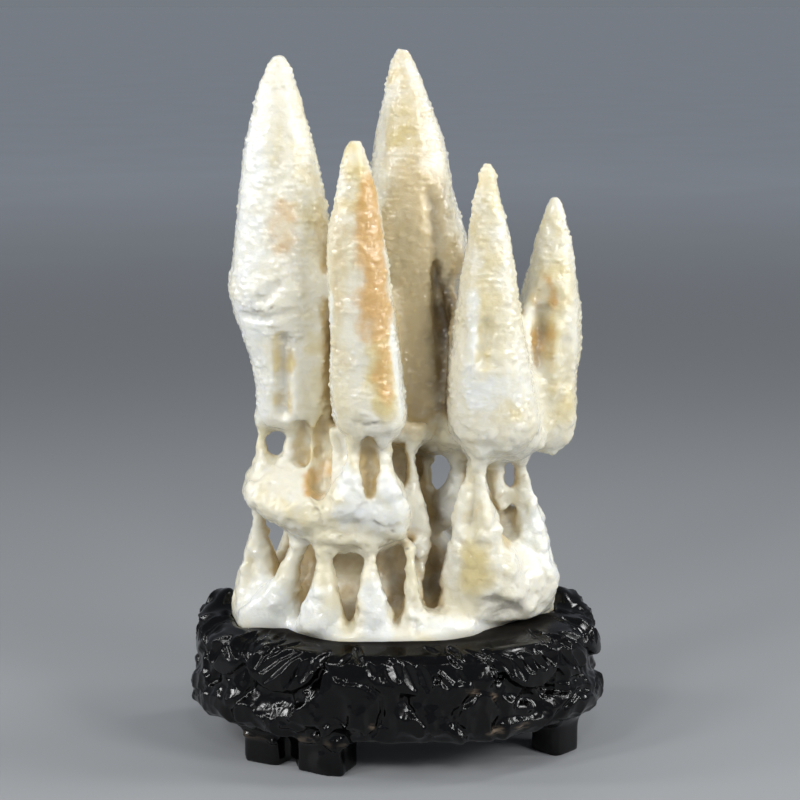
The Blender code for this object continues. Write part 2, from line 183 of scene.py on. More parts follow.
# Ridges that stand proud of the stone: start, end, half width, height.
RIDGES = [
    [(113, -5, 306), (112, -8, 262), 4.5, 3.0],
    [(-54, -20, 345), (-53, -18, 242), 9.0, 7.0],
    [(50, -44, 330), (53, -46, 288), 6.0, 1.6],
    [(44, 4, 372), (47, 2, 312), 5.0, 3.0],
    [(-27, -50, 236), (-40, -46, 205), 4.5, 2.5],
    [(-11, -50, 234), (-3, -55, 200), 4.5, 2.5],
    [(12, -22, 226), (12, -30, 172), 4.5, 2.0],
    [(57, -36, 222), (42, -28, 174), 5.0, 3.6],
    [(60, -36, 222), (64, -44, 168), 5.0, 3.4],
    [(89, -5, 212), (104, -10, 166), 5.0, 3.4],
    [(-53, -50, 164), (10, -43, 161), 3.4, 2.6],
]

# Hairline cracks in the stone: start, end.
CRACKS = [
    [(-20, -54, 180), (-5, -55, 172)], [(-5, -55, 172), (10, -30, 163)],
    [(-60, -45, 194), (-52, -52, 178)], [(-53, -50, 158), (8, -42, 156)],
    [(-100, -36, 313), (-78, -39, 306)], [(-98, -34, 322), (-84, -40, 326)],
    [(-32, -62, 250), (-8, -63, 249)], [(70, -44, 110), (96, -32, 114)],
    [(30, -52, 112), (56, -48, 104)],
]
CRACK_REACH = 1.95
CRACK_DEPTH = 0.9

# Stains on the stone: start, end, reach, strength.  A stain fades out at the widened reach.  The
# tan ones along the flutes, niches and slots are partly painted shade.
# The last ones of each kind are on the stone's back.
STAIN_WIDENED = 1.25
STAINS = {
    "tan": [
        [(3, 0, 500), (10, -4, 390), 28, 0.65],
        [(14, -4, 400), (12, -8, 250), 34, 0.95],
        # the flute of the left spire: stain and painted shade
        [(-79, -36, 299), (-81, -31, 252), 9, 1.0],
        [(-38, -54, 420), (-40, -56, 262), 14, 0.45],
        # in the niches, the slot, the hollow and the niches of the right mass: stain and painted
        # shade
        [(-66, -20, 240), (-67, -18, 216), 9, 0.9],
        [(-53, -16, 240), (-55, -30, 200), 9, 0.85],
        [(-20, -46, 236), (-19, -44, 196), 9, 1.0],
        [(1, -12, 226), (1, 2, 192), 12, 0.8],
        [(51, -38, 204), (50, -42, 174), 9, 0.75],
        [(79, -10, 182), (78, -32, 158), 10, 0.95],
        [(102, 0, 350), (100, 0, 280), 10, 0.6],
        # on the back, down the flutes and in the niches: stain and painted shade
        [(-86, 24, 340), (-84, 21, 250), 12, 0.8],
        [(4, 48, 400), (6, 48, 252), 26, 0.7],
        [(-29, 28, 330), (-27, 30, 240), 16, 0.8],
        [(6, 51, 226), (8, 50, 170), 12, 0.8],
        [(-54, 29, 226), (-50, 31, 176), 12, 0.8],
    ],
    "yellow": [
        [(-62, -24, 430), (-57, -26, 300), 18, 0.45],
        [(-80, -38, 300), (-82, -32, 250), 8, 1.0],
        [(-57, -22, 300), (-57, -22, 245), 10, 0.7],
        [(-10, -61, 304), (-9, -63, 262), 16, 0.85],
        [(-28, -50, 446), (-24, -52, 400), 16, 0.7],
        [(2, 0, 500), (3, -2, 440), 20, 0.6],
        [(60, -30, 405), (58, -42, 320), 18, 0.5],
        [(60, -45, 313), (59, -47, 290), 7, 0.95],
        [(54, -45, 152), (57, -45, 136), 17, 1.0],
        [(108, 0, 380), (114, 0, 250), 24, 0.5],
        [(78, -46, 256), (76, -44, 246), 14, 0.6],
        [(-94, -40, 196), (-70, -46, 180), 18, 0.4],
        [(-106, -8, 132), (-108, -12, 116), 9, 0.7],
        [(-66, 20, 420), (-62, 22, 320), 18, 0.6],
        [(24, 50, 380), (26, 46, 300), 16, 0.6],
        [(112, 34, 350), (110, 33, 240), 16, 0.8],
        [(70, 38, 150), (62, 40, 124), 18, 0.9],
        [(-30, 44, 160), (-20, 46, 120), 16, 0.5],
    ],
    "orange": [
        [(-18, -50, 408), (-17, -58, 365), 15, 1.0],
        [(-17, -58, 365), (-12, -60, 314), 17, 1.0],
        [(-8, -62, 298), (-7, -63, 272), 11, 0.7],
        [(-78, -33, 392), (-77, -33, 370), 13, 0.5],
        [(107, -2, 338), (99, -6, 280), 8, 0.95],
        [(-55, -30, 206), (-55, -37, 196), 12, 1.0],
        [(2, 50, 380), (0, 52, 320), 14, 0.9],
        [(-29, 28, 300), (-27, 30, 262), 9, 0.7],
        [(104, 34, 300), (102, 33, 270), 8, 0.7],
    ],
    "white": [
        [(-104, -20, 470), (-102, -24, 250), 24, 0.8],
        [(48, -46, 335), (50, -48, 264), 11, 0.95],
        [(60, -50, 270), (84, -46, 270), 20, 0.6],
        [(-42, -50, 214), (-28, -54, 200), 13, 0.95],
        [(-9, -54, 206), (0, -56, 194), 12, 0.95],
        [(-32, -54, 184), (2, -54, 180), 17, 0.85],
        [(36, -2, 204), (36, 10, 150), 13, 1.0],
        [(98, -8, 180), (112, -4, 140), 24, 0.8],
        [(-104, -20, 114), (-80, -34, 104), 26, 1.0],
        [(-62, -50, 120), (-50, -54, 102), 18, 1.0],
        [(-17, -56, 128), (-14, -58, 102), 16, 1.0],
        [(20, -56, 104), (60, -50, 102), 14, 0.7],
        [(-2, -51, 314), (0, -54, 256), 7, 0.95],
        [(-50, -24, 335), (-50, -21, 285), 6, 0.5],
        [(-66, 4, 128), (-72, 2, 116), 9, 0.4],
        [(-46, -50, 335), (-44, -50, 250), 6, 0.8],
        [(-96, 16, 460), (-98, 18, 260), 22, 0.8],
        [(-82, 52, 120), (-84, 52, 102), 18, 1.0],
        [(-36, 56, 116), (32, 56, 104), 16, 1.0],
        [(74, 44, 124), (80, 44, 102), 22, 0.9],
    ],
    # the brown streaks darken the gaps and grooves: partly brown stain, partly painted shade
    "brown": [
        [(24, -2, 394), (29, 0, 340), 5, 0.3],
        [(30, 0, 345), (33, 2, 250), 7, 1.0],
        [(32, -5, 325), (34, -15, 254), 9, 1.0],
        [(32, -8, 295), (35, -17, 252), 12, 1.0],
        [(30, -4, 300), (31, -6, 248), 12, 0.75],
        [(19, 6, 218), (22, -6, 162), 15, 0.85],
        [(79, -14, 176), (79, -20, 160), 6, 0.8],
        [(103, 2, 322), (98, 2, 270), 6, 0.55],
        [(25, 6, 128), (25, 0, 102), 12, 0.85],
        [(-4, -6, 122), (0, -16, 104), 8, 0.5],
        [(-33, -28, 116), (-33, -40, 98), 7, 0.5],
        [(-55, -32, 204), (-55, -36, 197), 6, 0.4],
        [(68, -42, 112), (86, -36, 108), 9, 0.5],
        [(42, 16, 320), (42, 17, 256), 9, 0.8],
    ],
}

# The carved stand.
LEDGE = 94.5                # height of its flat top
LEDGE_SHARE = 0.84          # how much of the outline the flat top covers
# The gouge cuts of one leaf, from its middle: start (along, down), end, half width.
CUTS = {
    "far": [(-16, 18, -22, 31, 2.4), (-4, 6, -11, 32, 3.6), (-8, 8, 12, 25, 2.0),
            (2, -4, 19, 22, 3.6), (11, -2, 28, 22, 2.2), (5, -10, 20, 2, 1.8)],
    "wing": [(-31, -9, -18, 1, 2.2), (-14, -2, -19, 27, 2.8), (0, -3, -14, 23, 2.2),
             (7, 8, -15, 29, 3.4), (15, 8, -11, 36, 2.6), (16, 15, 6, 38, 2.8),
             (24, 13, 19, 33, 2.8), (33, 4, 28, 25, 2.6)],
    "vee": [(-2, 5, -10, 18, 2.0), (-4, -3, 7, 17, 2.2), (11, 13, 16, 26, 2.0)],
    "spray": [(-17, 9, -9, 29, 3.2), (-7, 12, 2, 35, 3.0), (4, 15, 12, 38, 2.4),
              (14, 24, 25, 35, 2.2), (12, -4, 22, 5, 1.8)],
    "short": [(-3, -3, 0, 11, 2.4), (-7, 8, -1, 20, 2.4), (-4, 20, -1, 31, 1.6),
              (8, 2, 27, 23, 1.8)],
    "oval": [(-29, 10, -19, 30, 3.2), (-16, 14, -10, 34, 3.4), (-8, 12, -2, 30, 3.6),
             (0, 17, 11, 28, 2.8), (10, 8, 21, 26, 4.4)],
    "end": [(-3, -9, -19, 7, 3.0), (-4, -2, -3, 18, 2.8), (5, 3, 23, 23, 3.0),
            (-12, 16, -2, 33, 2.8), (-2, 20, 13, 40, 3.6), (-20, 29, -8, 41, 2.8),
            (-28, 35, -9, 47, 2.8)],
}
# The leaves: place along the wall from the middle of the front, half width, drop, cuts, side.
LEAVES = [
    (-142, 28, 36, "far", 1), (-87, 34, 40, "wing", 1), (-32, 22, 30, "vee", 1),
    (12, 22, 38, "spray", 1), (48, 20, 31, "short", 1), (102, 31, 39, "oval", 1),
    (144, 26, 38, "end", 1), (194, 26, 36, "far", -1), (243, 28, 37, "wing", -1),
    (291, 23, 33, "spray", 1), (335, 24, 37, "oval", -1), (379, 22, 31, "vee", 1),
    (-352, 26, 36, "wing", 1), (-303, 25, 34, "spray", -1), (-253, 26, 37, "oval", 1),
    (-198, 28, 36, "far", 1)]
CUT_WIDTH = 1.7             # half width of a cut's hollow, against its half width above
CUT_DEPTH = 1.1             # its depth
CUT_EDGE = 1.02             # where its flat flanks meet the surface
CUT_BOTTOM = 0.03           # how round its pointed bottom is
CUT_LIP = 0.2               # height of the lips at its sides
LIP_PLACE = 1.15            # where they stand
LIP_SPREAD = 0.22           # how broad they are
LEAF_NOTCH = 0.5            # share of its drop that a leaf loses at its sides
LEAF_SQUARENESS = 2.4       # of its lower edge
LEAF_CROWN = 0.45           # how far its middle swells out, against its step
# How far the leaves stand out over the rock below them, by their cuts.
LEAF_STEPS = {"far": 2.6, "wing": 4.2, "vee": 0.8, "spray": 1.2, "short": 0.7, "oval": 4.6,
              "end": 2.6}
LEAF_FOLD = 0.6             # depth of the fold between two leaves, against their steps
STEP_FADE = (5.0, 18.0)     # a leaf's step fades out between these distances below its edge
WALL_FADE = (24.0, 32.0)    # the carving of the wall fades in between these heights
SHOULDER_DROP = 4.0         # how far the flat top bends down at its rim
SHOULDER_FADE = (84.0, 93.0)        # between these heights
ROCK_SIZE = (20.0, 20.0, 27.0)      # of the gouged hollows in the rock below the leaves
ROCK_DEPTH = 5.0
ROCK_SWELL_SIZE = 40.0
ROCK_SWELL_DEPTH = 2.6
CLEFT_SIZE = 31.0
CLEFT_DEPTH = 3.0
CHIP_MARK_SIZE = (8.5, 8.5, 11.0)   # of the small gouge marks between them
CHIP_MARK_DEPTH = 1.3
CHIP_MARK_FADE = (26.0, 34.0)       # they fade in between these heights
# Rock that hangs lower at the two ends of the stand: start, end, reach, height.
ROCK_LOBES = [
    [(-142, -20, 44), (-130, -42, 38), 20, 4.0], [(146, -10, 42), (138, -30, 38), 18, 3.5],
    [(-142, 30, 42), (-128, 50, 38), 18, 3.5], [(142, 34, 42), (126, 54, 38), 18, 3.5]]
# Hollows cut in the rock over the front feet: start, end, half width, depth.
FOOT_CUTS = [
    [(-94, -72, 43), (-94, -68, 34), 9.0, 3.6], [(-41, -90, 47), (-38, -85, 32), 6.0, 3.4],
    [(-112, -46, 25), (-84, -60, 25), 3.0, 2.6], [(-74, -68, 29), (-56, -82, 34), 3.0, 2.6],
    [(-56, -82, 34), (-36, -80, 28), 3.0, 2.6], [(-77, -62, 24), (-76, -60, 4), 4.0, 4.0],
]
# The sharp upper rims and corners of the block feet, and the round knob on the front one.
FOOT_RIDGES = [
    [(-108, -46, 20), (-88, -55, 20), 2.4, 2.2], [(-88, -55, 20), (-81, -50, 22), 2.4, 2.2],
    [(-67, -71, 26), (-54, -79, 29), 2.4, 2.2], [(-54, -79, 29), (-45, -77, 23), 2.4, 2.2],
    [(-45, -77, 23), (-37, -76, 24), 2.4, 2.2], [(-42, -76, 20), (-40, -74, 2), 2.8, 2.6],
    [(-86, -54, 18), (-85, -53, 2), 2.8, 2.6], [(-52, -73, 15), (-54, -72, 10), 5.0, 3.4]]
# Edges of the stand where the lacquer is rubbed through, painted paler also as a highlight along
# the rims: start, end.
WORN_AND_HIGHLIGHT_EDGES = [
    [(-108, -46, 20), (-88, -55, 20)], [(-88, -55, 20), (-81, -50, 22)],
    [(-67, -71, 26), (-54, -79, 29)], [(-54, -79, 29), (-45, -77, 23)],
    [(-45, -77, 23), (-37, -76, 24)], [(63, -83, 36), (92, -72, 36)],
    [(47, -85, 67), (67, -80, 60)], [(-17, -91, 42), (-14, -91, 38)],
    [(108, -46, 20), (92, -52, 22)], [(104, 52, 22), (84, 62, 22)],
    [(-104, 52, 22), (-84, 62, 22)]]
WORN_AND_HIGHLIGHT_REACH = 3.61

# The way down the stand's wall, for a millimetre of height and for the whole of its outline.
DOWN_BY_HEIGHT = 0.9
DOWN_BY_OUTLINE = 75.0
WALL_TICKS = 721            # steps that its length is measured in
WALL_LENGTH_SHARE = 0.987   # its true length against that of the simple formula for an ellipse


# ---------------------------------------------------------------- meshes as arrays

def place_object(name, mesh):
    thing = bpy.data.objects.new(name, mesh)
    bpy.context.collection.objects.link(thing)
    return thing


def apply_modifiers(thing):
    depsgraph = bpy.context.evaluated_depsgraph_get()
    shaped = bpy.data.meshes.new_from_object(thing.evaluated_get(depsgraph))
    plain = thing.data
    thing.modifiers.clear()
    thing.data = shaped
    bpy.data.meshes.remove(plain)


def keep_sharp_edges(mesh):
    """Crease the edges of the block feet, so that rounding spares them."""
    work = bmesh.new()
    work.from_mesh(mesh)
    bmesh.ops.remove_doubles(work, verts=work.verts, dist=WELD * MM)
    crease = work.edges.layers.float.new("crease_edge")
    for edge in work.edges:
        low = max(end.co.z for end in edge.verts) < SHARP_BELOW * MM
        if low and edge.calc_face_angle(0.0) > math.radians(SHARP_FOLD):
            edge[crease] = 1.0
    work.to_mesh(mesh)
    work.free()


def remesh(thing, voxel):
    """One even mesh of the thing, after the modifiers that it already has."""
    skin = thing.modifiers.new("skin", "REMESH")
    skin.mode = "VOXEL"
    skin.voxel_size = voxel * MM
    apply_modifiers(thing)


def rounded_copy(node, name, voxel, loss):
    """A copy of a CAD node with its facets rounded off, in one even mesh."""
    thing = place_object(name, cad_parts[node].data.copy())
    keep_sharp_edges(thing.data)
    rounding = thing.modifiers.new("rounding", "SUBSURF")
    rounding.levels = 2
    remesh(thing, voxel)
    move_to(thing, points_of(thing) + normals_of(thing) * loss)
    return thing


def thin_out(thing, most):
    """Thin the mesh until it has at most this many triangles."""
    count = sum(len(face.vertices) - 2 for face in thing.data.polygons)
    if count <= most:
        return
    thin = thing.modifiers.new("thin", "DECIMATE")
    thin.ratio = most / count
    apply_modifiers(thing)


def points_of(thing):
    points = np.empty(len(thing.data.vertices) * 3)
    thing.data.vertices.foreach_get("co", points)
    return points.reshape(-1, 3) / MM


def move_to(thing, points):
    thing.data.vertices.foreach_set("co", (points * MM).ravel())
    thing.data.update()


def normals_of(thing):
    normals = np.empty(len(thing.data.vertices) * 3)
    thing.data.vertex_normals.foreach_get("vector", normals)
    return normals.reshape(-1, 3)


def edges_of(thing):
    edges = np.empty(len(thing.data.edges) * 2, dtype=np.int64)
    thing.data.edges.foreach_get("vertices", edges)
    return edges.reshape(-1, 2)


def averaged(values, edges, rounds, pull=SMOOTH_IN):
    """Pull each point's value towards the mean of its neighbours' values, rounds times."""
    values = values.copy()
    count = len(values)
    ends = np.concatenate([edges[:, 0], edges[:, 1]])
    starts = np.concatenate([edges[:, 1], edges[:, 0]])
    shares = np.maximum(np.bincount(ends, minlength=count), 1)
    columns = values.reshape(count, -1)
    for _ in range(rounds):
        for column in range(columns.shape[1]):
            mean = np.bincount(ends, weights=columns[starts, column], minlength=count) / shares
            columns[:, column] += pull * (mean - columns[:, column])
    return columns.reshape(values.shape)


def smooth(thing, rounds):
    """Smooth the surface without thinning it: each pull in is followed by one out."""
    points = points_of(thing)
    edges = edges_of(thing)
    for _ in range(rounds):
        points = averaged(points, edges, 1, SMOOTH_IN)
        points = averaged(points, edges, 1, SMOOTH_OUT)
    move_to(thing, points)


def write_mask(thing, name, values):
    mask = thing.data.attributes.new(name, "FLOAT", "POINT")
    mask.data.foreach_set("value", np.clip(values, 0.0, 1.0).astype(np.float32))


def shade_smooth(thing):
    thing.data.polygons.foreach_set("use_smooth", [True] * len(thing.data.polygons))


# ---------------------------------------------------------------- fields over the surface

def ease(values, low, high):
    """0 below low, 1 above high, and a smooth step between."""
    share = np.clip((values - low) / (high - low), 0.0, 1.0)
    return share * share * (3 - 2 * share)


def waves(points, size, seed):
    """Smooth noise from -1 to 1 whose lumps are about size across."""
    places = points / np.asarray(size) + seed
    return np.array([noise.noise(place) for place in places.tolist()])


def shaken(points, distance, size, seeds):
    """Points moved about by smooth noise, so that what is drawn through them turns ragged."""
    return points + distance * np.stack([waves(points, size, seed) for seed in seeds], axis=1)


def cells(points, size, seed=0.0):
    """Distances to the nearest and the next of scattered dots, in units of size."""
    places = points / np.asarray(size) + seed
    found = [noise.voronoi(place)[0][:2] for place in places.tolist()]
    return np.array(found).T


def scoops(points, size, seed):
    """Gouged hollows about size across: 1 in their middles, 0 on the sharp ridges between."""
    near = cells(points, size, seed)[0]
    return 1 - np.minimum(near / 0.75, 1.0) ** 2


def facets(points, size, seed):
    """Height of a hewn surface: flat faces about size across, each tilted its own way."""
    heights = np.empty(len(points))
    for index, place in enumerate((points / size + seed).tolist()):
        middle = noise.voronoi(place)[1][0]
        tilt = noise.noise_vector(middle * 3.1)
        heights[index] = tilt.dot(Vector(place) - middle)
    return heights * size


def away_from(points, start, end, reach):
    """Distance from the line between start and end: 0 on it, 1 at reach from it and beyond."""
    start, end = np.array(start, float), np.array(end, float)
    along = end - start
    share = np.clip((points - start) @ along / (along @ along), 0.0, 1.0)
    away = np.linalg.norm(points - start - share[:, None] * along, axis=1)
    return np.minimum(away / reach, 1.0)


def near_segment(points, start, end, reach):
    """1 on the line from start to end, and smoothly down to 0 at reach from it."""
    return (1 - away_from(points, start, end, reach) ** 2) ** 2


def strongest(points, streaks, widened=1.0):
    """The strongest of the soft streaks at each point: start, end, reach, strength."""
    amount = np.zeros(len(points))
    for start, end, reach, strength in streaks:
        streak = strength * near_segment(points, start, end, reach * widened)
        amount = np.maximum(amount, streak)
    return amount


def sky_directions(count):
    """Directions spread over the half space around +Z."""
    turns = np.arange(count) * math.pi * (3 - math.sqrt(5))
    heights = np.sqrt((np.arange(count) + 0.5) / count)
    flat = np.sqrt(1 - heights ** 2)
    return np.stack([flat * np.cos(turns), flat * np.sin(turns), heights], axis=1)


def openness(thing):
    """The share of rays from each point that leave it freely, from 0 to 1."""
    points, normals = points_of(thing), normals_of(thing)
    faces = [tuple(face.vertices) for face in thing.data.polygons]
    tree = BVHTree.FromPolygons(points.tolist(), faces)
    side = np.cross(normals, (0.31, 0.95, 0.12))    # by a direction that hardly any normal has
    side /= np.linalg.norm(side, axis=1, keepdims=True) + 1e-9
    across = np.cross(normals, side)
    free = np.zeros(len(points))
    starts = (points + normals * RAY_LIFT).tolist()
    for direction in sky_directions(OPEN_RAYS):
        rays = side * direction[0] + across * direction[1] + normals * direction[2]
        hits = [tree.ray_cast(start, ray, OPEN_REACH)[3]
                for start, ray in zip(starts, rays.tolist())]
        free += np.array([1.0 if hit is None else 0.5 * hit / OPEN_REACH for hit in hits])
    return averaged(free / OPEN_RAYS, edges_of(thing), 3)


# ---------------------------------------------------------------- materials

def new_material(name):
    material = bpy.data.materials.new(name)
    material.use_nodes = True
    return material, material.node_tree, material.node_tree.nodes["Principled BSDF"]


def read_mask(tree, name):
    node = tree.nodes.new("ShaderNodeAttribute")
    node.attribute_name = name
    return node.outputs["Fac"]


def noise_field(tree, scale, detail, stretch=(1.0, 1.0, 1.0)):
    """Noise in the object's own space; scale is in lumps to a metre."""
    place = tree.nodes.new("ShaderNodeTexCoord")
    mapping = tree.nodes.new("ShaderNodeMapping")
    mapping.inputs["Scale"].default_value = stretch
    field = tree.nodes.new("ShaderNodeTexNoise")
    field.inputs["Scale"].default_value = scale
    field.inputs["Detail"].default_value = detail
    tree.links.new(place.outputs["Object"], mapping.inputs["Vector"])
    tree.links.new(mapping.outputs["Vector"], field.inputs["Vector"])
    return field.outputs["Fac"]


def spread(tree, value, low, high, new_low=0.0, new_high=1.0):
    """Stretch low..high of a value to new_low..new_high, smoothly, and hold it outside."""
    node = tree.nodes.new("ShaderNodeMapRange")
    node.interpolation_type = "SMOOTHSTEP"
    node.inputs["From Min"].default_value = low
    node.inputs["From Max"].default_value = high
    node.inputs["To Min"].default_value = new_low
    node.inputs["To Max"].default_value = new_high
    tree.links.new(value, node.inputs["Value"])
    return node.outputs["Result"]


def combine(tree, operation, first, second):
    node = tree.nodes.new("ShaderNodeMath")
    node.operation = operation
    for socket, value in zip(node.inputs, (first, second)):
        if isinstance(value, (int, float)):
            socket.default_value = value
        else:
            tree.links.new(value, socket)
    return node.outputs[0]


def laid_over(tree, below, colour, mask):
    """colour over below, as much as mask says."""
    node = tree.nodes.new("ShaderNodeMix")
    node.data_type = "RGBA"
    if isinstance(below, tuple):
        node.inputs["A"].default_value = (*below, 1.0)
    else:
        tree.links.new(below, node.inputs["A"])
    node.inputs["B"].default_value = (*colour, 1.0)
    tree.links.new(mask, node.inputs["Factor"])
    return node.outputs["Result"]


def add_bump(tree, shader, height, distance, layer):
    bump = tree.nodes.new("ShaderNodeBump")
    bump.inputs["Distance"].default_value = distance * MM
    tree.links.new(height, bump.inputs["Height"])
    tree.links.new(bump.outputs["Normal"], shader.inputs[layer])


def broken_mask(tree, patches, mask):
    """A stain's mask with a ragged border."""
    ragged = combine(tree, "ADD", mask, spread(tree, patches, 0.3, 0.7, -0.2, 0.2))
    return spread(tree, ragged, 0.12, 0.85, 0.0, 0.92)


def calcite_colour(tree):
    """Cream stone with stains, white crusts and cracks, and tan and brown hollows and dark gaps
    that are partly stain and partly painted shade.
    """
    patches = noise_field(tree, 60.0, 5.0)
    streaks = noise_field(tree, 34.0, 4.0, (1.0, 1.0, 0.3))
    streaked = spread(tree, streaks, 0.42, 0.68, 0.0, 0.7)
    colour = laid_over(tree, CALCITE, CALCITE_STREAK, streaked)
    for name, tint in STAIN_TINTS.items():
        stain = broken_mask(tree, patches, read_mask(tree, name))
        colour = laid_over(tree, colour, tint, stain)
    # painted shade: the less open a point, the more tan and then brown it is painted, partly
    # standing for stain in the hollows
    hollow = combine(tree, "SUBTRACT", 1.0, read_mask(tree, "open"))
    hollow = combine(tree, "ADD", hollow, spread(tree, patches, 0.3, 0.7, -0.08, 0.08))
    colour = laid_over(tree, colour, HOLLOW_STAIN_AND_SHADE_TAN, spread(tree, hollow, 0.30, 0.65, 0.0, 0.85))
    colour = laid_over(tree, colour, HOLLOW_STAIN_AND_SHADE_BROWN, spread(tree, hollow, 0.62, 0.95, 0.0, 0.75))
    white = broken_mask(tree, patches, read_mask(tree, "white"))
    colour = laid_over(tree, colour, WHITE_CRUST, white)
    uneven = spread(tree, patches, 0.2, 0.6, 0.7, 1.0)
    # the dark brown of the gaps and grooves, partly stain and partly painted shade
    brown = combine(tree, "MULTIPLY", read_mask(tree, "brown"), uneven)
    colour = laid_over(tree, colour, GAP_STAIN_AND_SHADE_BROWN, brown)
    crack = combine(tree, "MULTIPLY", read_mask(tree, "crack"), 0.6)
    return laid_over(tree, colour, CRACK_BROWN, crack)


def calcite_material():
    """Stone that lets light in, under a thin, uneven, wet-looking coat."""
    material, tree, shader = new_material("calcite")
    tree.links.new(calcite_colour(tree), shader.inputs["Base Color"])
    grain = noise_field(tree, 420.0, 3.0, (1.0, 1.0, 1.5))
    tree.links.new(spread(tree, grain, 0.3, 0.7, 0.3, 0.5), shader.inputs["Roughness"])
    add_bump(tree, shader, grain, 0.25, "Normal")
    add_bump(tree, shader, noise_field(tree, 360.0, 1.5, (1.0, 1.0, 1.5)), 0.75, "Coat Normal")
    shader.inputs["Subsurface Weight"].default_value = 0.8
    shader.inputs["Subsurface Radius"].default_value = (1.0, 0.93, 0.7)
    shader.inputs["Subsurface Scale"].default_value = 5 * MM
    shader.inputs["IOR"].default_value = 1.5
    shader.inputs["Coat Weight"].default_value = 0.9
    shader.inputs["Coat Roughness"].default_value = 0.06
    return material


def lacquer_material():
    """Polished black lacquer, duller on the flat top, and rubbed through on a few edges, whose
    paler colour also paints a highlight along them.
    """
    material, tree, shader = new_material("lacquered_wood")
    ledge = read_mask(tree, "ledge")
    streaks = noise_field(tree, 90.0, 4.0, (1.0, 1.0, 6.0))
    dusty = combine(tree, "MULTIPLY", ledge, spread(tree, streaks, 0.3, 0.7, 0.5, 1.0))
    colour = laid_over(tree, LACQUER, LEDGE_DUST, dusty)
    # the rubbed rims: bare wood, and a painted highlight along them
    worn_and_highlight = combine(tree, "MULTIPLY", read_mask(tree, "worn_and_highlight"), spread(tree, streaks, 0.35, 0.6))
    colour = laid_over(tree, colour, BARE_WOOD_AND_HIGHLIGHT, worn_and_highlight)
    tree.links.new(colour, shader.inputs["Base Color"])
    pores = noise_field(tree, 150.0, 1.0, (1.0, 1.0, 2.0))
    roughness = spread(tree, pores, 0.3, 0.75, 0.11, 0.24)
    roughness = combine(tree, "ADD", roughness, combine(tree, "MULTIPLY", ledge, 0.45))
    tree.links.new(roughness, shader.inputs["Roughness"])
    add_bump(tree, shader, pores, 0.1, "Normal")
    shader.inputs["IOR"].default_value = 1.5
    tree.links.new(spread(tree, ledge, 0.0, 1.0, 0.3, 0.05), shader.inputs["Specular IOR Level"])
    return material


def distance_from_middle(tree):
    """How far a place on the floor is from the object, in metres."""
    place = tree.nodes.new("ShaderNodeTexCoord")
    length = tree.nodes.new("ShaderNodeVectorMath")
    length.operation = "LENGTH"
    tree.links.new(place.outputs["Object"], length.inputs[0])
    return length.outputs["Value"]


def floor_material():
    """A plain floor, paler far behind, where the lamps do not reach."""
    material, tree, shader = new_material("pale_floor")
    cloud = noise_field(tree, 3.0, 2.0)
    far = spread(tree, distance_from_middle(tree), 1.2, 5.0)
    colour = laid_over(tree, FLOOR_NEAR, FLOOR_FAR, far)
    colour = laid_over(tree, colour, FLOOR_CLOUD, combine(tree, "MULTIPLY", cloud, 0.15))
    tree.links.new(colour, shader.inputs["Base Color"])
    shader.inputs["Roughness"].default_value = 0.55
    return material


# ---------------------------------------------------------------- the stone

def pressed_in(points, normals, furrows):
    """Rounded furrows, pushed in against the surface's own direction."""
    moved = points.copy()
    for start, end, half, depth in furrows:
        furrow = near_segment(points, start, end, FURROW_REACH * half)
        moved -= normals * (depth * furrow)[:, None]
    return moved


def raised(points, normals, ridges):
    """Ridges with a sharp back, pushed out along the surface's own direction."""
    moved = points.copy()
    for start, end, half, height in ridges:
        ridge = (1 - away_from(points, start, end, RIDGE_REACH * half)) ** 1.5
        moved += normals * (height * ridge)[:, None]
    return moved


def carve_stone(stone):
    """Furrows, ridges, flutes and lumps, while the mesh is still coarse."""
    points, normals = points_of(stone), normals_of(stone)
    heights = points[:, 2]
    spires = ease(heights, RINGS_START - 14, RINGS_START + 10)
    near, after = cells(points + 5 * waves(points, 19.0, 2.2)[:, None], LUMP_SIZE, 6.1)
    lumps = LUMP_DEPTH * (ease(after - near, 0.0, 0.6) - 0.7) * (1 - 0.85 * spires)
    lumps += BREAK_DEPTH * facets(points, BREAK_SIZE, 3.7) * (1 - spires)
    flutes = FLUTE_DEPTH * waves(points, FLUTE_SIZE, 3.1) * spires
    swells = SWELL_DEPTH * waves(points, SWELL_SIZE, 7.7)
    raise_by = (lumps + flutes + swells) * ease(heights, *SEAT_FADE)
    points = points + normals * raise_by[:, None]
    points = pressed_in(points, normals, FURROWS)
    move_to(stone, raised(points, normals, RIDGES))


def ring_beads(points):
    """Height of the beads, from 0 in the creases to 1, in rings round the spires."""
    heights = points[:, 2] + 3.0 * waves(points, 24.0, 1.7) + 1.5 * waves(points, 9.0, 4.2)
    ring = np.floor(heights / RING_PITCH)
    share = heights / RING_PITCH - ring
    slices = points.copy()
    slices[:, 2] = ring * 2.7 * BEAD_WIDTH
    near, after = cells(slices, BEAD_WIDTH)
    rounded = np.sin(np.pi * share) ** 0.7
    parted = ease(after - near, 0.0, 0.4)
    return rounded * (0.2 + 0.8 * parted) * (0.7 + 0.9 * waves(slices, 5.0, 9.3))


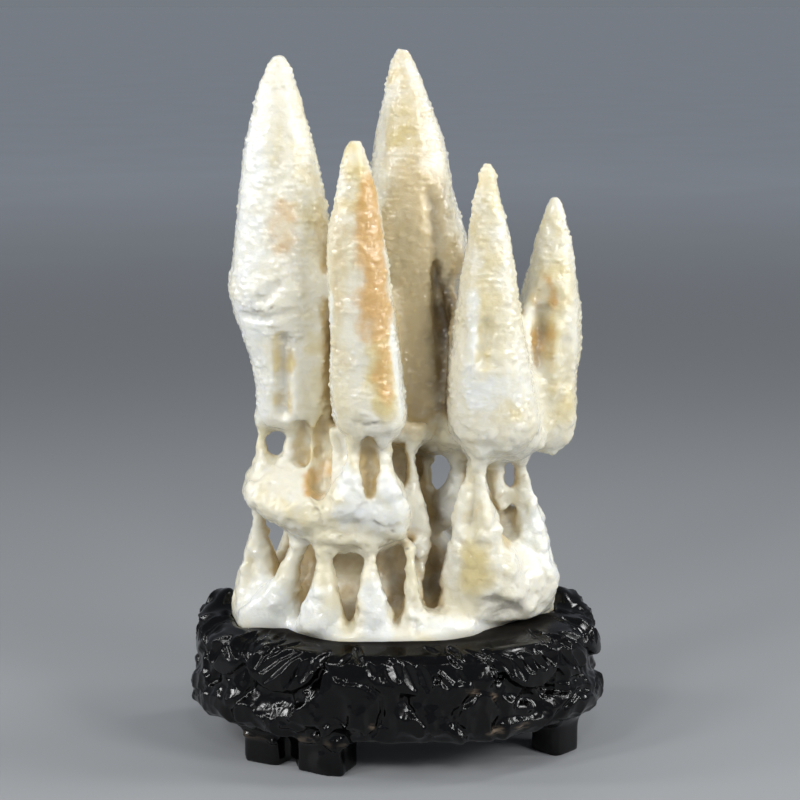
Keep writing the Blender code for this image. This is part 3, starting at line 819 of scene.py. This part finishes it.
def bead_stone(stone):
    """Growth beads on the spires, drips everywhere, and the hairline cracks."""
    points, normals = points_of(stone), normals_of(stone)
    spires = ease(points[:, 2], RINGS_START - 8, RINGS_START + 14)
    patchy = ease(waves(points, 26.0, 12.4), -0.4, 0.25)
    upright = 1 - 0.7 * ease(np.abs(normals[:, 2]), 0.55, 0.9)
    beads = BEAD_DEPTH * (ring_beads(points) - 0.6) * spires * (0.35 + 0.65 * patchy) * upright
    drips = FINE_DRIP_DEPTH * waves(points, FINE_DRIP_SIZE, 5.5)
    drips += BROAD_DRIP_DEPTH * waves(points, BROAD_DRIP_SIZE, 2.2)
    chips = CHIP_DEPTH * facets(points, CHIP_SIZE, 4.4) * (1 - 0.7 * spires)
    raise_by = (beads + drips + chips) * ease(points[:, 2], *SEAT_FADE)
    raise_by -= CRACK_DEPTH * crack_mask(points)
    move_to(stone, points + normals * raise_by[:, None])


def crack_mask(points):
    """1 in the middle of the hairline cracks."""
    cracks = [(start, end, CRACK_REACH, 1.0) for start, end in CRACKS]
    return strongest(shaken(points, 2.2, 7.0, (1.1, 5.3, 8.9)), cracks)


def paint_stone(stone):
    """The masks that the calcite reads."""
    points = points_of(stone)
    # the openness sets how much painted shade the hollows get
    write_mask(stone, "open", openness(stone))
    write_mask(stone, "crack", crack_mask(points))
    ragged = shaken(points, 6.0, 16.0, (2.1, 6.3, 9.9))
    for name, streaks in STAINS.items():
        write_mask(stone, name, strongest(ragged, streaks, STAIN_WIDENED))


def make_stone():
    """The stone's visual piece: rounded, carved, ringed with beads and painted."""
    stone = rounded_copy("stone", "stone_surface", STONE_ROUGH_VOXEL, STONE_ROUNDING_LOSS)
    smooth(stone, 6)
    carve_stone(stone)
    remesh(stone, STONE_FINE_VOXEL)
    smooth(stone, 3)
    bead_stone(stone)
    thin_out(stone, MOST_TRIANGLES)
    keep_inside(stone, "stone")
    paint_stone(stone)
    finish_piece(stone, "stone", calcite_material())


# ---------------------------------------------------------------- the stand

def stand_halves():
    """Half the stand's length and half its depth."""
    low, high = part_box("stand")
    return (high[0] - low[0]) / 2 / MM, (high[1] - low[1]) / 2 / MM


def wall_places(points):
    """Distance along the wall from the middle of the front, to the right, and way down it."""
    half_length, half_depth = stand_halves()
    across, along = points[:, 0] / half_length, points[:, 1] / half_depth
    ticks = np.linspace(-math.pi, math.pi, WALL_TICKS)
    steps = np.hypot(half_length * np.cos(ticks), half_depth * np.sin(ticks))
    steps *= ticks[1] - ticks[0]
    distance = np.cumsum(steps) - np.sum(steps) / 2
    down = DOWN_BY_HEIGHT * (LEDGE - points[:, 2])
    down += DOWN_BY_OUTLINE * (np.hypot(across, along) - LEDGE_SHARE)
    return np.interp(np.arctan2(across, -along), ticks, distance), down


def from_leaf(along, middle):
    """Distance along the wall from a leaf's middle, the short way round."""
    half_length, half_depth = stand_halves()
    whole = 2 * math.pi * math.sqrt((half_length ** 2 + half_depth ** 2) / 2)
    whole *= WALL_LENGTH_SHARE
    return (along - middle + whole / 2) % whole - whole / 2


def nearest_leaf(along):
    """How far across the nearest leaf each point is, and that leaf's drop and step."""
    across = np.full(len(along), np.inf)
    drop, step = np.zeros(len(along)), np.zeros(len(along))
    for middle, half, leaf_drop, cuts, _ in LEAVES:
        share = np.abs(from_leaf(along, middle)) / half
        drop = np.where(share < across, leaf_drop, drop)
        step = np.where(share < across, LEAF_STEPS[cuts], step)
        across = np.minimum(across, share)
    return across, drop, step


def rock_hollows(points):
    """Gouged hollows, broad swells and clefts of the rock below the leaves."""
    uneven = points + 5 * waves(points, 23.0, 7.5)[:, None]
    rock = ROCK_DEPTH * (scoops(uneven, ROCK_SIZE, 2.4) - 0.55)
    rock += ROCK_SWELL_DEPTH * waves(points, ROCK_SWELL_SIZE, 5.6)
    rock += CLEFT_DEPTH * (1 - ease(np.abs(waves(points, CLEFT_SIZE, 5.6)), 0.0, 0.14))
    return rock


def carve_stand(stand):
    """The step under each leaf, the fold between two leaves and the rock below them."""
    points, normals = points_of(stand), normals_of(stand)
    along, down = wall_places(points)
    across, drop, step = nearest_leaf(along)
    edge = drop * (1 - LEAF_NOTCH * np.minimum(across, 1.2) ** LEAF_SQUARENESS)
    wall = ease(down, -1.0, 4.0) * ease(points[:, 2], *WALL_FADE)
    below = ease(down - edge, -0.9, 0.9)
    under = step * (1 - ease(down - edge, *STEP_FADE))
    fold = LEAF_FOLD * step * ease(across, 0.7, 1.05)
    crown = LEAF_CROWN * step * (1 - np.minimum(across ** 2, 1.0))
    inward = wall * (below * (under + rock_hollows(points)) + (1 - below) * (fold - crown))
    points = points - normals * inward[:, None]
    for start, end, reach, height in ROCK_LOBES:
        points += normals * (height * near_segment(points, start, end, reach))[:, None]
    points[:, 2] -= SHOULDER_DROP * ease(down, -14.0, 3.0) * ease(points[:, 2], *SHOULDER_FADE)
    move_to(stand, points)


def one_cut(along, down, cut):
    """How deep a pointed gouge cut with flat flanks is, and how high its lips are."""
    start_along, start_down, end_along, end_down, half = cut
    step_along, step_down = end_along - start_along, end_down - start_down
    length = math.hypot(step_along, step_down)
    share = ((along - start_along) * step_along + (down - start_down) * step_down) / length ** 2
    side = np.abs((along - start_along) * step_down - (down - start_down) * step_along) / length
    fullness = np.sqrt(np.clip(4 * share * (1 - share), 0.03, 1.0))
    reach = side / (CUT_WIDTH * half * fullness)
    within = ease(share, -0.03, 0.03) * (1 - ease(share, 0.97, 1.03)) * fullness * half
    hollow = np.clip(CUT_EDGE - np.sqrt(reach ** 2 + CUT_BOTTOM), 0.0, 1.0)
    lip = np.exp(-((reach - LIP_PLACE) / LIP_SPREAD) ** 2)
    return within * hollow * CUT_DEPTH, within * lip * CUT_LIP


def cut_stand(stand):
    """The gouge cuts of every leaf, the marks in the rock and the sharp edges of the feet."""
    points, normals = points_of(stand), normals_of(stand)
    along, down = wall_places(points)
    deepest = np.zeros(len(points))
    highest = np.zeros(len(points))
    for middle, _, _, cuts, side in LEAVES:
        across = side * from_leaf(along, middle)
        for cut in CUTS[cuts]:
            hollow, lip = one_cut(across, down, cut)
            deepest = np.maximum(deepest, hollow)
            highest = np.maximum(highest, lip)
    rock = ease(down, 30.0, 42.0) * ease(points[:, 2], *CHIP_MARK_FADE)
    marks = CHIP_MARK_DEPTH * rock * scoops(points, CHIP_MARK_SIZE, 8.1)
    height = np.where(deepest > 0, -deepest, highest) - marks
    points = pressed_in(points + normals * height[:, None], normals, FOOT_CUTS)
    move_to(stand, raised(points, normals, FOOT_RIDGES))


def paint_stand(stand):
    """The masks that the lacquer reads."""
    points, normals = points_of(stand), normals_of(stand)
    down = wall_places(points)[1]
    flat = ease(normals[:, 2], 0.7, 0.9) * (1 - ease(down, -9.0, -2.0))
    write_mask(stand, "ledge", averaged(flat, edges_of(stand), 2))
    # the rubbed rims, which also carry a painted highlight
    worn_and_highlight = [(start, end, WORN_AND_HIGHLIGHT_REACH, 1.0) for start, end in WORN_AND_HIGHLIGHT_EDGES]
    write_mask(stand, "worn_and_highlight", strongest(points, worn_and_highlight))


def make_stand():
    """The stand's visual piece: rounded, carved into leaves and rock, cut and painted."""
    stand = rounded_copy("stand", "carved_stand", STAND_ROUGH_VOXEL, STAND_ROUNDING_LOSS)
    smooth(stand, 4)
    carve_stand(stand)
    remesh(stand, STAND_FINE_VOXEL)
    smooth(stand, 2)
    cut_stand(stand)
    smooth(stand, 1)
    thin_out(stand, MOST_TRIANGLES)
    keep_inside(stand, "stand")
    paint_stand(stand)
    finish_piece(stand, "stand", lacquer_material())


# ---------------------------------------------------------------- shared steps

def keep_inside(thing, node):
    """No point passes the CAD node's own box."""
    low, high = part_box(node)
    points = np.clip(points_of(thing), np.array(low) / MM, np.array(high) / MM)
    move_to(thing, points)


def finish_piece(thing, node, material):
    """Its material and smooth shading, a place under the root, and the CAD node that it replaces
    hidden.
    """
    thing.data.materials.clear()
    thing.data.materials.append(material)
    shade_smooth(thing)
    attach(thing, "root")
    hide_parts(node)


# ---------------------------------------------------------------- the studio

def place_camera():
    data = bpy.data.cameras.new("camera")
    data.sensor_width = CAMERA_SENSOR
    data.lens = CAMERA_LENS
    data.clip_end = 1000.0
    camera = place_object("camera", data)
    camera.location = CAMERA_PLACE
    camera.rotation_euler = (math.radians(90 - CAMERA_PITCH), 0.0, 0.0)
    bpy.context.scene.camera = camera


def add_light(name, place, size, power):
    data = bpy.data.lights.new(name, "AREA")
    data.shape = "RECTANGLE"
    data.size, data.size_y = size
    data.energy = power
    light = place_object(name, data)
    light.location = place
    beam = Vector(LAMP_AIM) - Vector(place)
    light.rotation_euler = beam.to_track_quat("-Z", "Y").to_euler()


def light_studio():
    """Small soft lamps round the front and the sides, in a pale room."""
    for name, place, size, power in LAMPS:
        add_light(name, place, size, power)
    world = bpy.data.worlds.new("pale_room")
    world.use_nodes = True
    tree = world.node_tree
    place = tree.nodes.new("ShaderNodeTexCoord")
    height = tree.nodes.new("ShaderNodeSeparateXYZ")
    tree.links.new(place.outputs["Generated"], height.inputs["Vector"])
    rise = spread(tree, height.outputs["Z"], 0.0, 0.8)
    colour = laid_over(tree, ROOM_LOW, ROOM_HIGH, rise)
    haze = spread(tree, height.outputs["Z"], 0.0, 0.03, 1.0, 0.0)
    colour = laid_over(tree, colour, ROOM_HAZE, haze)
    tree.links.new(colour, tree.nodes["Background"].inputs["Color"])
    bpy.context.scene.world = world
    bpy.context.scene.view_settings.view_transform = "Standard"


def make_floor():
    mesh = bpy.data.meshes.new("floor")
    near, far = -FLOOR_REACH, FLOOR_REACH
    corners = [(near, near, 0), (far, near, 0), (far, far, 0), (near, far, 0)]
    mesh.from_pydata(corners, [], [(0, 1, 2, 3)])
    mesh.materials.append(floor_material())
    place_object("floor", mesh)


noise.seed_set(NOISE_SEED)
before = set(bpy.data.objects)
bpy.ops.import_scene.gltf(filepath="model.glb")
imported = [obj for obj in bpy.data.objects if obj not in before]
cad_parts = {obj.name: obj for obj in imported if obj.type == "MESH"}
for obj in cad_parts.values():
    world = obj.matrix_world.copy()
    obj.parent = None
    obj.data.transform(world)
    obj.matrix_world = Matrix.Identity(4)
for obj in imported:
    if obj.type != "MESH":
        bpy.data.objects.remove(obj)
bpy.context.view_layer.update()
place_camera()
light_studio()
make_floor()
make_stone()
make_stand()
